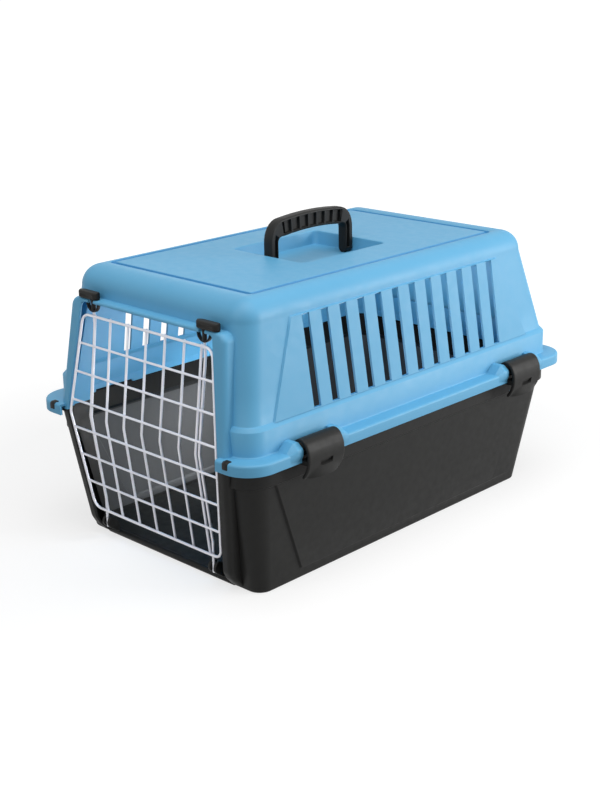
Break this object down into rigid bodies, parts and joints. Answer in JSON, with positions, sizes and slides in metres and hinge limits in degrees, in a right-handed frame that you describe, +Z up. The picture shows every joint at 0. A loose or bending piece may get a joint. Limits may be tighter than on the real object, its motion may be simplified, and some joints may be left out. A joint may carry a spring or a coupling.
{
  "type": "pet transport carrier",
  "caption": "Two-part moulded pet carrier: black tray, vented blue cover with fold-down handle, bent wire door with lift latches, side clips.",
  "frame": {"origin": "middle of the flat underside", "axes": "+Z up, door at -Y, +X to the right seen from the door"},
  "size_m": [0.3372, 0.4905, 0.3147],
  "materials": {
    "cover_blue": "moulded plastic with a fine satin grain",
    "tray_black": "moulded plastic with a fine matt grain",
    "fitting_black": "moulded plastic, smooth satin",
    "coated_wire": "white plastic-coated steel wire"
  },
  "bodies": {
    "tray": {"bottom_tray": "tray_black"},
    "cover": {"top_cover": "cover_blue"},
    "handle": {"carry_handle": "fitting_black"},
    "door": {"door_frame_wire": "coated_wire", "cross_wire_1": "coated_wire", "cross_wire_2": "coated_wire", "cross_wire_3": "coated_wire", "cross_wire_4": "coated_wire", "cross_wire_5": "coated_wire", "cross_wire_6": "coated_wire", "upright_wire_1": "coated_wire", "upright_wire_2": "coated_wire", "upright_wire_3": "coated_wire", "upright_wire_4": "coated_wire", "upright_wire_5": "coated_wire", "upright_wire_6": "coated_wire", "upright_wire_7": "coated_wire"},
    "latch_left": {"latch_tab_left": "fitting_black", "latch_spring_left": "fitting_black"},
    "rod_left": {"latch_rod_left": "coated_wire"},
    "latch_right": {"latch_tab_right": "fitting_black", "latch_spring_right": "fitting_black", "latch_rod_right": "coated_wire"},
    "clip_fr": {"clip_front_right": "fitting_black"},
    "clip_rr": {"clip_rear_right": "fitting_black"},
    "clip_fl": {"clip_front_left": "fitting_black"},
    "clip_rl": {"clip_rear_left": "fitting_black"}
  },
  "joints": [
    {"name": "cover_lift", "type": "slide", "parent": "tray", "child": "cover", "axis": [0, 0, 1], "range_m": [0, 0.2]},
    {"name": "door_swing", "type": "hinge", "parent": "cover", "child": "door", "pos_m": [-0.08, -0.2143, 0.137], "axis": [0, 0, -1], "range_deg": [0, 105]},
    {"name": "latch_left_lift", "type": "slide", "parent": "cover", "child": "latch_left", "axis": [0, 0, 1], "range_m": [0, 0.008], "stiffness_N_per_m": 400, "deforming": ["latch_spring_left"]},
    {"name": "rod_left_lift", "type": "slide", "parent": "door", "child": "rod_left", "axis": [0, 0, 1], "range_m": [0, 0.008]},
    {"name": "latch_right_lift", "type": "slide", "parent": "door", "child": "latch_right", "axis": [0, 0, 1], "range_m": [0, 0.008], "stiffness_N_per_m": 400, "deforming": ["latch_spring_right"]},
    {"name": "handle_fold", "type": "hinge", "parent": "cover", "child": "handle", "pos_m": [0, 0.005, 0.2722], "axis": [0, 1, 0], "range_deg": [-90, 90]},
    {"name": "front_right_clip_turn", "type": "hinge", "parent": "cover", "child": "clip_fr", "pos_m": [0.152, -0.148, 0.148], "axis": [0, -1, 0], "range_deg": [0, 100]},
    {"name": "front_left_clip_turn", "type": "hinge", "parent": "cover", "child": "clip_fl", "pos_m": [-0.152, -0.148, 0.148], "axis": [0, 1, 0], "range_deg": [0, 100]},
    {"name": "rear_right_clip_turn", "type": "hinge", "parent": "cover", "child": "clip_rr", "pos_m": [0.152, 0.163, 0.148], "axis": [0, -1, 0], "range_deg": [0, 100]},
    {"name": "rear_left_clip_turn", "type": "hinge", "parent": "cover", "child": "clip_rl", "pos_m": [-0.152, 0.163, 0.148], "axis": [0, 1, 0], "range_deg": [0, 100]}
  ],
  "couplings": [
    {"joint": "rod_left_lift", "follows": "latch_left_lift", "ratio": 1}
  ]
}
